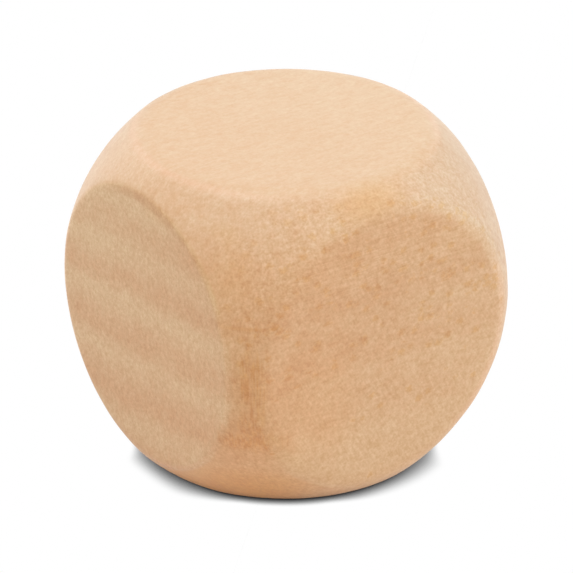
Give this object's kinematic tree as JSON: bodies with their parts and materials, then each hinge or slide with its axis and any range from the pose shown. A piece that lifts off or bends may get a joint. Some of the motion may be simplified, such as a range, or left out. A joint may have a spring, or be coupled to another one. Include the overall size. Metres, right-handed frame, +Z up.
{
  "type": "wooden cube",
  "caption": "Solid wooden cube, its edges and corners rounded to one ball, with a round flat on each side: a plain blank block or die for games, crafts and counting.",
  "frame": {"origin": "middle of the underside flat, on the surface that the cube stands on", "axes": "+X along the grain, from one end-grain flat to the other; -Y is the front; +Z is up"},
  "size_m": [0.0254, 0.0254, 0.0254],
  "materials": {
    "wood": "bare, fine-sanded pale hardwood: end grain at both ends, faint growth rings, small brown ray flecks on the sides"
  },
  "bodies": {
    "root": {"wooden_cube": "wood"}
  },
  "joints": []
}
